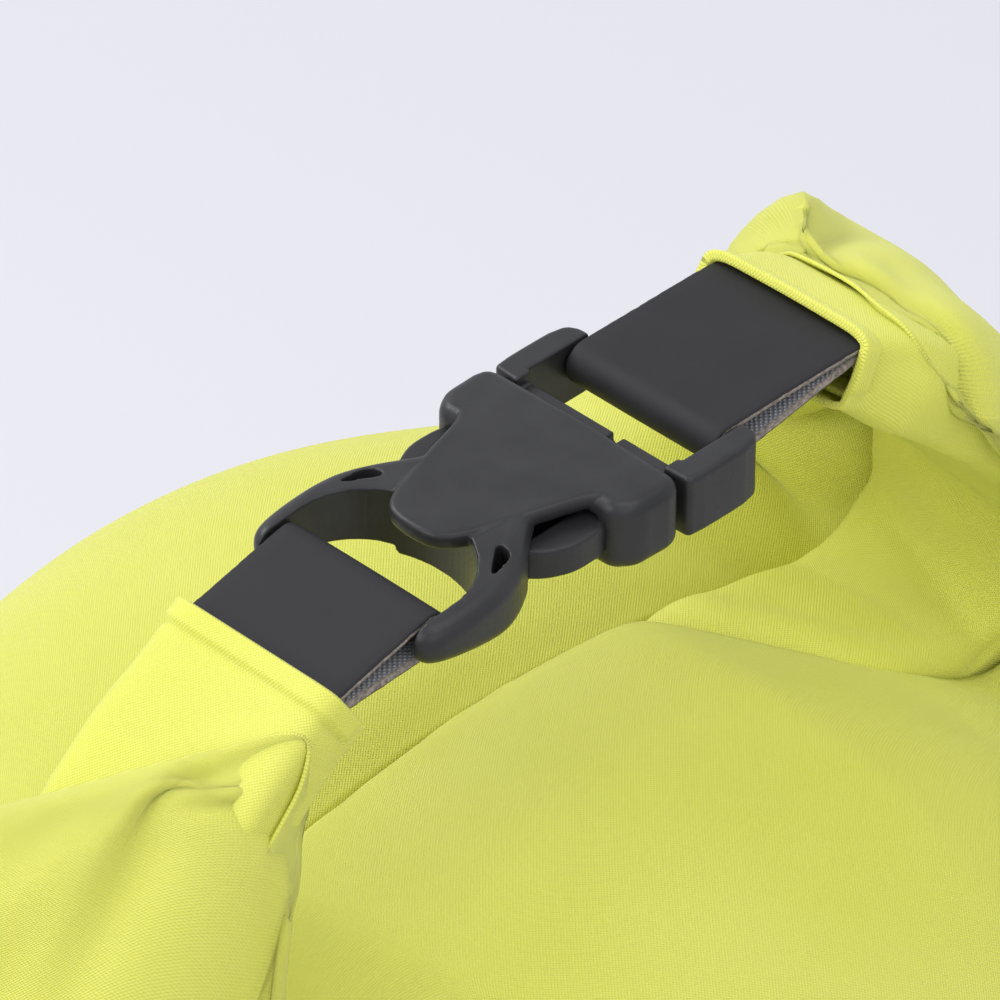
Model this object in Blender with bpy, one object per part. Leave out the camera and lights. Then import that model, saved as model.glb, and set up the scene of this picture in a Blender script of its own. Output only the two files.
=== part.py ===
"""Roll-top dry bag, closed: a round fabric bag whose mouth is rolled down around two stiffener
strips, bent up into a hand loop and clipped with a 25 mm side-release buckle.

Run with: blender --background --python part.py
Units are metres. +Z is up, +X runs along the buckle, and the origin is the centre of the base.
"""

import math

import bmesh
import bpy

MM = 0.001
GAP = 0.3 * MM  # clearance between pieces that touch

# The rolled mouth. The buckle sits above the middle of the bag, in a loop made by the roll.
TOP_PLANE = 405.0 * MM  # height of the strap's upper face where it rounds the buckle bars
LOOP_HALF = 44.0 * MM  # from the middle of the loop to each end of the roll
LOOP_DROP = 6.15 * MM  # the roll's ends lie this far under the strap plane
LOOP_TILT = math.radians(2.15)  # the left end of the roll hangs lower than the right one
ARM_LENGTH = 46.0 * MM
ARM_START = math.radians(210.0)  # heading of the roll as it leaves the left strap
ARM_END = math.radians(232.0)
TURN_RADIUS = 18.0 * MM
SEAT_ANGLE = math.radians(24.0)  # slope of the roll where it starts to lie on the bag
ROLL_WIDTH = 28.4 * MM
ROLL_THICK = 11.0 * MM
ROLL_CORNER = 3.6 * MM
SLOT_WIDTH = 26.0 * MM  # the hollow at the heart of the roll
SLOT_THICK = 3.9 * MM
SLOT_SHIFT = 3.0 * MM  # the hollow lies nearer the roll's outer side
SPLIT_X = 47.0 * MM  # the roll's right end moves with the male half from here

# The bag.
FABRIC = 1.2 * MM
BASE_RADIUS = 93.0 * MM
BASE_CORNER = 6.0 * MM
DOME_RADIUS = 165.0 * MM
DOME_SPAN = 74.0 * MM  # radius at which the dome turns down into the shoulder
SHOULDER_DROP = 34.0 * MM  # from the edge of the dome to the top of the straight wall
NECK_LENGTH = 90.0 * MM
NECK_WIDTH = 18.0 * MM
NECK_ABOVE = 10.0 * MM  # how far the cut reaches over and under the dome
NECK_BELOW = 30.0 * MM
SEGMENTS = 48  # sides of the round parts
TAPE_THICK = 0.6 * MM
TAPE_WIDTH = 22.0 * MM

# The straps: 25 mm strips of rubber-coated fabric, folded round the buckle bars.
STRAP_WIDTH = 25.0 * MM
STRAP_THICK = 1.1 * MM
TAB_LENGTH = 20.0 * MM  # length of strap held inside the roll
STIFF_WIDTH = 22.0 * MM
STIFF_THICK = 0.8 * MM

# The buckle, centred on BUCKLE_X; x is measured from its middle, z from the strap plane.
BUCKLE_X = -3.0 * MM
BAR_X = 25.3 * MM
BAR_RADIUS = 1.6 * MM
BAR_Z = -(STRAP_THICK + BAR_RADIUS + GAP)
TOP_Z = 1.7 * MM
BOTTOM_Z = -8.0 * MM
PLATE_THICK = 2.0 * MM
MOUTH_X = 13.2 * MM
CAVITY_HALF = 12.4 * MM
YOKE_TOP = 0.6 * MM
YOKE_BOTTOM = -7.2 * MM
PRONG_TOP = -0.7 * MM
PRONG_BOTTOM = -5.6 * MM
PRONG_ROOT_Y = 10.5 * MM
SOCKET_START = -9.0 * MM  # the socket's closed end
BAR_HALF = 14.5 * MM  # half of the length of both strap bars
WINDOW_HALF = 13.0 * MM  # half of the width of both strap windows
YOKE_ARCH_X = -21.6 * MM  # the yoke's window ends in half an ellipse about this line
YOKE_ARCH_REACH = 10.3 * MM
YOKE_OPEN_X = -34.0 * MM
MALE_WINDOW_X = 16.4 * MM
MALE_OPEN_X = 40.0 * MM
MALE_TOP = 0.8 * MM
TONGUE_START = -4.0 * MM
TONGUE_END = 14.5 * MM
TONGUE_HALF = 1.6 * MM
CUT_LOW = -20.0 * MM  # heights between which cuts right through the buckle run
CUT_HIGH = 10.0 * MM

BLACK = (0.052, 0.050, 0.055, 1.0)
STRAP_BLACK = (0.056, 0.053, 0.058, 1.0)
LIME = (0.70, 0.74, 0.14, 1.0)
STIFF_WHITE = (0.75, 0.75, 0.72, 1.0)
TAPE_CLEAR = (0.66, 0.70, 0.42, 1.0)


def clear_scene():
    for obj in list(bpy.data.objects):
        bpy.data.objects.remove(obj, do_unlink=True)


def material(name, colour, roughness):
    mat = bpy.data.materials.new(name)
    mat.use_nodes = True
    shader = mat.node_tree.nodes["Principled BSDF"]
    shader.inputs["Base Color"].default_value = colour
    shader.inputs["Roughness"].default_value = roughness
    shader.inputs["Metallic"].default_value = 0.0
    return mat


def add_object(name, bm, mat, origin=(0.0, 0.0, 0.0)):
    """Makes an object from the bmesh, whose points are in world coordinates."""
    bmesh.ops.recalc_face_normals(bm, faces=bm.faces)
    bmesh.ops.translate(bm, verts=bm.verts, vec=[-c for c in origin])
    mesh = bpy.data.meshes.new(name)
    bm.to_mesh(mesh)
    bm.free()
    mesh.materials.append(mat)
    obj = bpy.data.objects.new(name, mesh)
    obj.location = origin
    bpy.context.collection.objects.link(obj)
    mesh.shade_smooth()
    mesh.set_sharp_from_angle(angle=math.radians(35.0))
    return obj


def hide_tool(obj):
    obj.hide_render = True
    obj.display_type = "WIRE"
    return obj


def combine(obj, tool, operation):
    mod = obj.modifiers.new(tool.name, "BOOLEAN")
    mod.object = hide_tool(tool)
    mod.operation = operation
    mod.solver = "EXACT"


def round_edges(obj, width, segments=2):
    mod = obj.modifiers.new("rounded_edges", "BEVEL")
    mod.width = width
    mod.segments = segments
    mod.limit_method = "ANGLE"
    mod.angle_limit = math.radians(40.0)


def prism(name, outline, low, high, mat, origin=(0.0, 0.0, 0.0)):
    """A flat-ended solid between two heights; the outline lies in the XY plane."""
    bm = bmesh.new()
    rings = [[bm.verts.new((x, y, z)) for x, y in outline] for z in (low, high)]
    bm.faces.new(rings[0])
    bm.faces.new(rings[1])
    count = len(outline)
    for i in range(count):
        j = (i + 1) % count
        bm.faces.new((rings[0][i], rings[0][j], rings[1][j], rings[1][i]))
    return add_object(name, bm, mat, origin)


def box(name, low, high, mat):
    outline = [(low[0], low[1]), (high[0], low[1]), (high[0], high[1]), (low[0], high[1])]
    return prism(name, outline, low[2], high[2], mat)


def arc(centre, radius, start, end, steps):
    """Points on an arc, both ends included; angles in radians."""
    points = []
    for i in range(steps + 1):
        a = start + (end - start) * i / steps
        points.append((centre[0] + radius * math.cos(a), centre[1] + radius * math.sin(a)))
    return points


def rounded_section(width, thick, corner, steps):
    """A rounded rectangle across the roll: (along y, across the roll)."""
    a, b = width / 2 - corner, thick / 2 - corner
    points = []
    for quarter, (cx, cy) in enumerate(((a, b), (-a, b), (-a, -b), (a, -b))):
        start = quarter * math.pi / 2
        points += arc((cx, cy), corner, start, start + math.pi / 2, steps)
    return points


def walk(position, heading, length, turn, steps):
    """Points after each step of an arc walked from a position: (x, z, heading)."""
    points = []
    x, z = position
    for _ in range(steps):
        mid = heading + turn / steps / 2
        chord = length / steps
        if abs(turn) > 1e-9:
            chord = 2 * (length / abs(turn)) * math.sin(abs(turn) / steps / 2)
        x += chord * math.cos(mid)
        z += chord * math.sin(mid)
        heading += turn / steps
        points.append((x, z, heading))
    return points


def loop_path():
    """The roll's centre line from the left strap to the right one, as (x, z, heading)."""
    turn = 2 * math.pi + SEAT_ANGLE - ARM_END
    path = [(-LOOP_HALF, 0.0, ARM_START)]
    path += walk(path[-1][:2], path[-1][2], ARM_LENGTH, ARM_END - ARM_START, 10)
    path += walk(path[-1][:2], path[-1][2], TURN_RADIUS * turn, turn, 14)
    seat_radius = -path[-1][0] / math.sin(SEAT_ANGLE)
    path += walk(path[-1][:2], path[-1][2], seat_radius * SEAT_ANGLE, -SEAT_ANGLE, 8)
    mirrored = [(-x, z, 4 * math.pi - heading) for x, z, heading in reversed(path[:-1])]
    cos_t, sin_t = math.cos(LOOP_TILT), math.sin(LOOP_TILT)
    return [
        (x * cos_t - z * sin_t, x * sin_t + z * cos_t + TOP_PLANE - LOOP_DROP, h + LOOP_TILT)
        for x, z, h in path + mirrored
    ]


def path_length(path):
    return sum(math.dist(a[:2], b[:2]) for a, b in zip(path, path[1:]))


def cut_path(path, start, end):
    """The stretch of a path between two distances along it."""
    result = []
    run = 0.0
    for a, b in zip(path, path[1:]):
        step = math.dist(a[:2], b[:2])
        for mark in (start, end):
            if run <= mark < run + step:
                t = (mark - run) / step
                result.append(tuple(p + (q - p) * t for p, q in zip(a, b)))
        if start < run + step < end:
            result.append(b)
        run += step
    return result


def sweep_rings(bm, path, section, offset=0.0):
    """Rings of points across a path; offset moves them to the loop's inner side."""
    rings = []
    for x, z, heading in path:
        nx, nz = -math.sin(heading), math.cos(heading)
        ring = [
            bm.verts.new((x + nx * (w + offset), y, z + nz * (w + offset))) for y, w in section
        ]
        rings.append(ring)
    return rings


def skin(bm, rings):
    for a, b in zip(rings, rings[1:]):
        count = len(a)
        for i in range(count):
            j = (i + 1) % count
            bm.faces.new((a[i], a[j], b[j], b[i]))


def solid_sweep(name, path, section, mat, offset=0.0):
    bm = bmesh.new()
    rings = sweep_rings(bm, path, section, offset)
    skin(bm, rings)
    bm.faces.new(rings[0])
    bm.faces.new(rings[-1])
    return add_object(name, bm, mat)


def flat_section(width, thick):
    a, b = width / 2, thick / 2
    return [(a, b), (-a, b), (-a, -b), (a, -b)]


def hollow_sweep(name, path, outer, inner, mat):
    """A tube along a path; outer and inner have the same number of points."""
    bm = bmesh.new()
    shells = [sweep_rings(bm, path, section) for section in (outer, inner)]
    for rings in shells:
        skin(bm, rings)
    for end in (0, -1):
        a, b = shells[0][end], shells[1][end]
        count = len(a)
        for i in range(count):
            j = (i + 1) % count
            bm.faces.new((a[i], a[j], b[j], b[i]))
    return add_object(name, bm, mat)


def split_distance(path):
    """Distance along the loop at which the bag's side of the roll ends."""
    run = 0.0
    for a, b in zip(path, path[1:]):
        step = math.dist(a[:2], b[:2])
        low = a[1] < TOP_PLANE - 2 * TURN_RADIUS
        if low and a[0] <= SPLIT_X < b[0]:
            return run + step * (SPLIT_X - a[0]) / (b[0] - a[0])
        run += step
    return run


def make_roll(path, mat):
    outer = rounded_section(ROLL_WIDTH, ROLL_THICK, ROLL_CORNER, 4)
    inner = rounded_section(SLOT_WIDTH, SLOT_THICK, SLOT_THICK * 0.3, 4)
    inner = [(y, w - SLOT_SHIFT) for y, w in inner]
    split = split_distance(path)
    total = path_length(path)
    left = cut_path(path, 0.0, split - GAP)
    right = cut_path(path, split + GAP, total - GAP)
    hollow_sweep("roll_top", left, outer, inner, mat)
    hollow_sweep("roll_right_arm", right, outer, inner, mat)
    return split


def make_stiffeners(path, split, mat):
    """The front and back stiffener strips at the heart of the roll."""
    section = flat_section(STIFF_WIDTH, STIFF_THICK)
    stretch = cut_path(path, TAB_LENGTH + 4 * GAP, split - 4 * GAP)
    shift = STIFF_THICK / 2 + GAP
    solid_sweep("stiffener_front", stretch, section, mat, -SLOT_SHIFT - shift)
    solid_sweep("stiffener_back", stretch, section, mat, -SLOT_SHIFT + shift)


def strap_centre_line(path, side):
    """Tab inside the roll, upper ply, fold round the bar, lower ply and its tab again."""
    total = path_length(path)
    span = (3 * GAP, TAB_LENGTH) if side < 0 else (total - TAB_LENGTH, total - 3 * GAP)
    tab = cut_path(path, *span)
    if side < 0:
        tab.reverse()
    shift = STRAP_THICK / 2 + GAP / 2
    upper, lower = [], []
    for x, z, heading in tab:
        nx, nz = -math.sin(heading), math.cos(heading)
        upper.append((x - nx * (SLOT_SHIFT + shift), z - nz * (SLOT_SHIFT + shift)))
        lower.append((x - nx * (SLOT_SHIFT - shift), z - nz * (SLOT_SHIFT - shift)))
    bar = (BUCKLE_X + side * BAR_X, TOP_PLANE + BAR_Z)
    radius = BAR_RADIUS + GAP + STRAP_THICK / 2
    start = math.pi / 2
    fold = arc(bar, radius, start, start + side * math.pi, 12)
    return upper + fold + lower[::-1]


def band(name, line, mat):
    """A flat band of the strap's width along a line in the XZ plane."""
    bm = bmesh.new()
    a, b = STRAP_WIDTH / 2, STRAP_THICK / 2
    rings = []
    for i, (x, z) in enumerate(line):
        before = line[max(i - 1, 0)]
        after = line[min(i + 1, len(line) - 1)]
        dx, dz = after[0] - before[0], after[1] - before[1]
        size = math.hypot(dx, dz)
        nx, nz = -dz / size * b, dx / size * b
        corners = ((nx, nz, a), (nx, nz, -a), (-nx, -nz, -a), (-nx, -nz, a))
        rings.append([bm.verts.new((x + p, y, z + q)) for p, q, y in corners])
    skin(bm, rings)
    bm.faces.new(rings[0])
    bm.faces.new(rings[-1])
    return add_object(name, bm, mat)


def make_straps(path, mat):
    band("left_strap", strap_centre_line(path, -1), mat)
    band("right_strap", strap_centre_line(path, 1), mat)


def dome_height(radius, top):
    return top - (DOME_RADIUS - math.sqrt(DOME_RADIUS**2 - radius**2))


def dome_under(path):
    """Height of the dome's top when the roll just clears it."""
    lowest = TOP_PLANE
    for x, z, _ in path:
        reach = math.hypot(x, ROLL_WIDTH / 2)
        lowest = min(lowest, z - ROLL_THICK / 2 - dome_height(reach, 0.0))
    return lowest - 5 * GAP


def body_profile(body_radius, dome_top, inset):
    """Radius and height from the base to the top of the dome, set in by the fabric."""
    shoulder_low = dome_height(DOME_SPAN, dome_top) - SHOULDER_DROP
    slope = math.asin(DOME_SPAN / DOME_RADIUS)
    points = [(BASE_RADIUS - BASE_CORNER * 0.4, 0.0), (BASE_RADIUS, BASE_CORNER * 0.5)]
    for i in range(1, 9):
        t = i / 9
        bulge = math.sin(math.pi / 2 * min(1.0, t * 3.0))
        radius = BASE_RADIUS + (body_radius - BASE_RADIUS) * bulge
        points.append((radius, BASE_CORNER + (shoulder_low - BASE_CORNER) * t))
    high = dome_height(DOME_SPAN, dome_top)
    for i in range(6):
        t = i / 6 * (math.pi / 2 - slope)
        reach = (body_radius - DOME_SPAN) / (1 - math.sin(slope))
        rise = (high - shoulder_low) / math.cos(slope)
        points.append(
            (body_radius - reach * (1 - math.cos(t)), shoulder_low + rise * math.sin(t))
        )
    for i in range(6, 0, -1):
        radius = DOME_SPAN * i / 6
        points.append((radius, dome_height(radius, dome_top)))
    if inset:
        points = inset_profile(points)
    return points


def inset_profile(points):
    moved = []
    for i, (r, z) in enumerate(points):
        before = points[max(i - 1, 0)]
        after = points[min(i + 1, len(points) - 1)]
        dr, dz = after[0] - before[0], after[1] - before[1]
        size = math.hypot(dr, dz)
        moved.append((r - dz / size * FABRIC, z + dr / size * FABRIC))
    moved[0] = (points[0][0] - FABRIC, points[0][1])
    return moved


def lathe(bm, profile, close_top):
    rings = []
    for r, z in profile:
        ring = []
        for i in range(SEGMENTS):
            a = 2 * math.pi * i / SEGMENTS
            ring.append(bm.verts.new((r * math.cos(a), r * math.sin(a), z)))
        rings.append(ring)
    skin(bm, rings)
    if close_top is not None:
        pole = bm.verts.new((0.0, 0.0, close_top))
        last = rings[-1]
        for i in range(SEGMENTS):
            bm.faces.new((last[i], last[(i + 1) % SEGMENTS], pole))
    return rings


def make_bag(body_radius, dome_top, mat, tape_mat):
    bm = bmesh.new()
    outer = lathe(bm, body_profile(body_radius, dome_top, False), dome_top)
    inner = lathe(bm, body_profile(body_radius, dome_top, True), dome_top - FABRIC)
    skin(bm, [outer[0], inner[0]])
    body = add_object("bag_body", bm, mat)
    neck = box(
        "neck_cut",
        (-NECK_LENGTH / 2, -NECK_WIDTH / 2, dome_top - NECK_BELOW),
        (NECK_LENGTH / 2, NECK_WIDTH / 2, dome_top + NECK_ABOVE),
        mat,
    )
    combine(body, neck, "DIFFERENCE")

    floor_radius = BASE_RADIUS - BASE_CORNER * 0.4 - FABRIC - GAP
    bm = bmesh.new()
    bottom = lathe(bm, [(floor_radius, 0.0), (floor_radius, FABRIC)], None)
    bm.faces.new(bottom[0])
    bm.faces.new(bottom[1])
    add_object("base_panel", bm, mat)

    make_base_tape(floor_radius, tape_mat)
    make_side_tape(body_radius, tape_mat)


def make_base_tape(floor_radius, mat):
    """An L-shaped tape inside the bag, over the seam between the base and the wall."""
    low = FABRIC + GAP
    out = floor_radius - 2 * GAP
    leg = TAPE_WIDTH / 2
    section = [
        (out, low),
        (out, low + leg),
        (out - TAPE_THICK, low + leg),
        (out - TAPE_THICK, low + TAPE_THICK),
        (out - leg, low + TAPE_THICK),
        (out - leg, low),
    ]
    bm = bmesh.new()
    rings = []
    for i in range(SEGMENTS):
        a = 2 * math.pi * i / SEGMENTS
        rings.append([bm.verts.new((r * math.cos(a), r * math.sin(a), z)) for r, z in section])
    skin(bm, rings + [rings[0]])
    add_object("base_seam_tape", bm, mat)


def make_side_tape(body_radius, mat):
    """The sealing tape over the vertical seam, inside the back of the bag."""
    low, high = 60.0 * MM, 280.0 * MM
    half = TAPE_WIDTH / 2 / (body_radius - FABRIC)
    outer = body_radius - FABRIC - 6 * GAP
    bm = bmesh.new()
    columns = []
    for i in range(7):
        a = math.pi / 2 - half + 2 * half * i / 6
        ring = []
        for r, z in (
            (outer, low),
            (outer, high),
            (outer - TAPE_THICK, high),
            (outer - TAPE_THICK, low),
        ):
            ring.append(bm.verts.new((r * math.cos(a), r * math.sin(a), z)))
        columns.append(ring)
    skin(bm, columns)
    bm.faces.new(columns[0])
    bm.faces.new(columns[-1])
    add_object("side_seam_tape", bm, mat)


def both_sides(half_outline):
    """Closes an outline given from the right end to the left end on the far side."""
    return half_outline + [(x, -y) for x, y in reversed(half_outline)]


def at_buckle(points):
    return [(BUCKLE_X + x * MM, y * MM) for x, y in points]


def level(z):
    return TOP_PLANE + z


def plate_outline():
    tip = [(-13.6, 5.9), (-15.4, 4.4), (-16.3, 2.0)]
    return at_buckle(both_sides([(6.0, 14.0), (3.4, 11.0), (-2.0, 9.6)] + tip))


def yoke_outline():
    half = [(-4.6, 7.0), (-7.6, 10.2), (-11.0, 13.2), (-15.0, 15.0), (-20.0, 15.6)]
    half += [(-25.5, 15.4), (-28.2, 14.2), (-29.3, 11.6)]
    return at_buckle(both_sides(half))


def make_female(mat):
    female = prism(
        "buckle_female",
        at_buckle(both_sides([(13.2, 14.6), (12.4, 16.2), (10.0, 16.7), (5.0, 16.2), (3.5, 14.0)])),
        level(BOTTOM_Z),
        level(TOP_Z),
        mat,
    )
    round_edges(female, 1.6 * MM)
    top = prism("female_top_plate", plate_outline(), level(TOP_Z - PLATE_THICK), level(TOP_Z), mat)
    round_edges(top, 0.6 * MM)
    low = level(BOTTOM_Z)
    bottom = prism("female_bottom_plate", plate_outline(), low, low + PLATE_THICK, mat)
    round_edges(bottom, 0.6 * MM)
    yoke = prism("female_yoke", yoke_outline(), level(YOKE_BOTTOM), level(YOKE_TOP), mat)
    round_edges(yoke, 1.8 * MM)
    combine(yoke, bottom, "UNION")
    open_yoke(yoke, mat)
    combine(female, yoke, "UNION")
    combine(female, top, "UNION")
    socket = box(
        "female_socket",
        (BUCKLE_X + SOCKET_START, -CAVITY_HALF, level(PRONG_BOTTOM - GAP)),
        (BUCKLE_X + MOUTH_X + TONGUE_HALF, CAVITY_HALF, level(PRONG_TOP + GAP)),
        mat,
    )
    combine(female, socket, "DIFFERENCE")
    combine(female, rod("female_bar", -BAR_X, mat), "UNION")


def open_yoke(yoke, mat):
    """The window that the strap passes through, and the hole in each shoulder."""
    arch = arc((0.0, 0.0), 1.0, math.pi / 2, -math.pi / 2, 12)
    centre, open_x = BUCKLE_X + YOKE_ARCH_X, BUCKLE_X + YOKE_OPEN_X
    window = [(centre + YOKE_ARCH_REACH * x, WINDOW_HALF * y) for x, y in arch]
    window = [(open_x, WINDOW_HALF)] + window + [(open_x, -WINDOW_HALF)]
    cuts = [("yoke_window", window)]
    for side, name in ((1, "yoke_hole_far"), (-1, "yoke_hole_near")):
        corners = [(-16.0, 12.9), (-11.6, 11.9), (-11.2, 9.6)]
        cuts.append((name, at_buckle([(x, y * side) for x, y in corners])))
    for name, outline in cuts:
        tool = prism(name, outline, level(CUT_LOW), level(CUT_HIGH), mat)
        combine(yoke, tool, "DIFFERENCE")


def rod(name, x, mat):
    """A buckle bar along Y."""
    ring = arc((BUCKLE_X + x, level(BAR_Z)), BAR_RADIUS, 0.0, 2 * math.pi, 12)[:-1]
    bm = bmesh.new()
    ends = [[bm.verts.new((px, y, pz)) for px, pz in ring] for y in (-BAR_HALF, BAR_HALF)]
    skin(bm, ends)
    bm.faces.new(ends[0])
    bm.faces.new(ends[1])
    return add_object(name, bm, mat)


def make_male(mat):
    half = [(27.4, 13.6), (26.6, 15.8), (24.4, 16.7), (15.4, 16.7), (13.6, 16.0)]
    male = prism(
        "buckle_male", at_buckle(both_sides(half)), level(BOTTOM_Z), level(MALE_TOP), mat
    )
    round_edges(male, 1.8 * MM)
    window = box(
        "male_window",
        (BUCKLE_X + MALE_WINDOW_X, -WINDOW_HALF, level(CUT_LOW)),
        (BUCKLE_X + MALE_OPEN_X, WINDOW_HALF, level(CUT_HIGH)),
        mat,
    )
    combine(male, window, "DIFFERENCE")
    combine(male, rod("male_bar", BAR_X, mat), "UNION")
    tongue = box(
        "male_tongue",
        (BUCKLE_X + TONGUE_START, -TONGUE_HALF, level(PRONG_BOTTOM + GAP)),
        (BUCKLE_X + TONGUE_END, TONGUE_HALF, level(PRONG_TOP - GAP)),
        mat,
    )
    combine(male, tongue, "UNION")


def make_prong(name, side, mat):
    """A springy arm with the catch that snaps out into the side window of the female half."""
    outline = [
        (13.2, 11.9),
        (6.0, 11.7),
        (3.0, 11.9),
        (2.8, 14.0),
        (-2.5, 14.2),
        (-6.0, 12.7),
        (-8.3, 10.4),
        (-8.3, 8.9),
        (-5.0, 9.4),
        (2.0, 9.2),
        (13.2, 9.2),
    ]
    points = at_buckle([(x, y * side) for x, y in outline])
    root = (BUCKLE_X + MOUTH_X, side * PRONG_ROOT_Y, level((PRONG_TOP + PRONG_BOTTOM) / 2))
    prong = prism(name, points, level(PRONG_BOTTOM + GAP), level(PRONG_TOP - GAP), mat, root)
    round_edges(prong, 0.5 * MM)


def main():
    clear_scene()
    fabric = material("lime_coated_fabric", LIME, 0.55)
    rubber = material("black_rubber_coated_strap", STRAP_BLACK, 0.6)
    acetal = material("black_acetal", BLACK, 0.42)
    strip = material("stiffener_plastic", STIFF_WHITE, 0.5)
    tape = material("seam_tape", TAPE_CLEAR, 0.35)

    path = loop_path()
    split = make_roll(path, fabric)
    make_stiffeners(path, split, strip)
    make_straps(path, rubber)

    # The mouth, laid flat, is half the bag's circumference.
    body_radius = path_length(path) / math.pi
    dome_top = dome_under(path)
    make_bag(body_radius, dome_top, fabric, tape)

    make_female(acetal)
    make_male(acetal)
    make_prong("prong_near", -1, acetal)
    make_prong("prong_far", 1, acetal)


main()
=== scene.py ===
# A closed roll-top dry bag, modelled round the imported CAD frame. Lengths are in metres unless a
# line says otherwise. The fabric is a cut tube whose mouth is rolled into a hand loop: the tube
# is inflated from its flat cut by cloth simulation, and the roll, straps and buckle are meshes.

import math

import bmesh
import bpy
import numpy as np
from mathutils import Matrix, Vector, noise


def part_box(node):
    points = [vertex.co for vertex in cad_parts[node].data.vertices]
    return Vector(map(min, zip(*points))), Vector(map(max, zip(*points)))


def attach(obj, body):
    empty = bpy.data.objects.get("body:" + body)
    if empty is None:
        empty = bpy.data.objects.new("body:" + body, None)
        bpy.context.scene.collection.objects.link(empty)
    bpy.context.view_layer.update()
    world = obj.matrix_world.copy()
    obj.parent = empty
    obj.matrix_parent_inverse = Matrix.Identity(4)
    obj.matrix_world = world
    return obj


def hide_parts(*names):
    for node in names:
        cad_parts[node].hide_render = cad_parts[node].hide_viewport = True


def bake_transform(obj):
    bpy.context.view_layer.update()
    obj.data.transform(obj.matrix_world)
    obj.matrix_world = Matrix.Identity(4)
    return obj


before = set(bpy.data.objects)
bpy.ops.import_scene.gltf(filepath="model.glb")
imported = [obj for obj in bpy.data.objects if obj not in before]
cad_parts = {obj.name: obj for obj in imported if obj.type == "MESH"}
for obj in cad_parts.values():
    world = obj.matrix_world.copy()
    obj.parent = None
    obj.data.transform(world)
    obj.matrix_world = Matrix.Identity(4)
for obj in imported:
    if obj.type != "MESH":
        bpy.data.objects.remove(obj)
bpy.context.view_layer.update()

MM = 0.001

# The loop made by the rolled mouth: the same driving dimensions as the CAD roll.
TOP_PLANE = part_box("right_strap")[1].z
BAG_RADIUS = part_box("bag_body")[1].x
LOOP_HALF = 44.0 * MM
LOOP_DROP = 6.15 * MM
LOOP_TILT = math.radians(2.15)
ARM_LENGTH = 46.0 * MM
ARM_START = math.radians(210.0)
ARM_END = math.radians(232.0)
TURN_RADIUS = 18.0 * MM
SEAT_ANGLE = math.radians(24.0)
END_LIFT = 2.2 * MM  # the right end of the roll rides up with the strap
END_LIFT_SPAN = 42.0 * MM
MOUTH_REACH = 2.4  # millimetres of roll past the left end of the CAD roll
BASE_RADIUS = 93.0 * MM

# The straps.
STRAP_WIDTH = 25.0 * MM
STRAP_THICK = 1.1 * MM
SLOT_SHIFT = 3.0 * MM
STRAP_INSET = 0.9 * MM  # the strap leaves the roll's line this far inside the roll's end
TAB_POINTS = 8  # one a millimetre
RIGHT_LIFT = 0.9 * MM  # the right strap's fold rides a little higher
COATED, BACKING, CUT_EDGE = 0, 1, 2  # the strap's material slots
GAP = 0.3 * MM

# The buckle; x is measured from its middle and z from the strap plane.
BUCKLE_X = -3.0 * MM
BAR_X = 25.3 * MM
BAR_RADIUS = 1.6 * MM
BAR_HALF = 14.5 * MM
BAR_SIDES = 32
BAR_Z = -(STRAP_THICK + BAR_RADIUS + GAP)
PLATE_TOP = 1.7  # millimetres over the strap plane, like the next
SHELL_LOW = -8.0
SHELL_GRAIN = 0.19
PRONG_GRAIN = 0.16

# The bag's tube, flat cut and simulation.
SIM_SCALE = 10.0  # the simulation runs on a tube ten times as large, where it is steadier
SIM_FRAMES = 45
COLUMNS = 200
WALL_ROWS = 42
CROWN_ROWS = 40
WALL_LOW = 2.0 * MM
CROWN_START = 285.0 * MM
CROWN_LENGTH = 146.0 * MM
FAR_FULLNESS = 44.0 * MM  # extra length of fabric up the far side
CROWN_RISE, FAR_RISE = 42.0 * MM, 48.0 * MM  # how steeply the start shape leaves the wall
CROWN_REACH, FAR_REACH = 30.0 * MM, 20.0 * MM  # how far it stands off the roll
FAR_LIFT = 16.0 * MM
DENT_DEPTH = 3.0 * MM
FABRIC_THICK = 0.5 * MM

# The base.
FLOOR_THICK = 0.6 * MM
FLOOR_RADIUS = BASE_RADIUS - 0.6 * MM

# The view of the closure.
VIEW_OFFSET = Vector((-0.5625, -0.5625, 0.606))
VIEW_LENS = 301.2


# ---------------------------------------------------------------- materials


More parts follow.
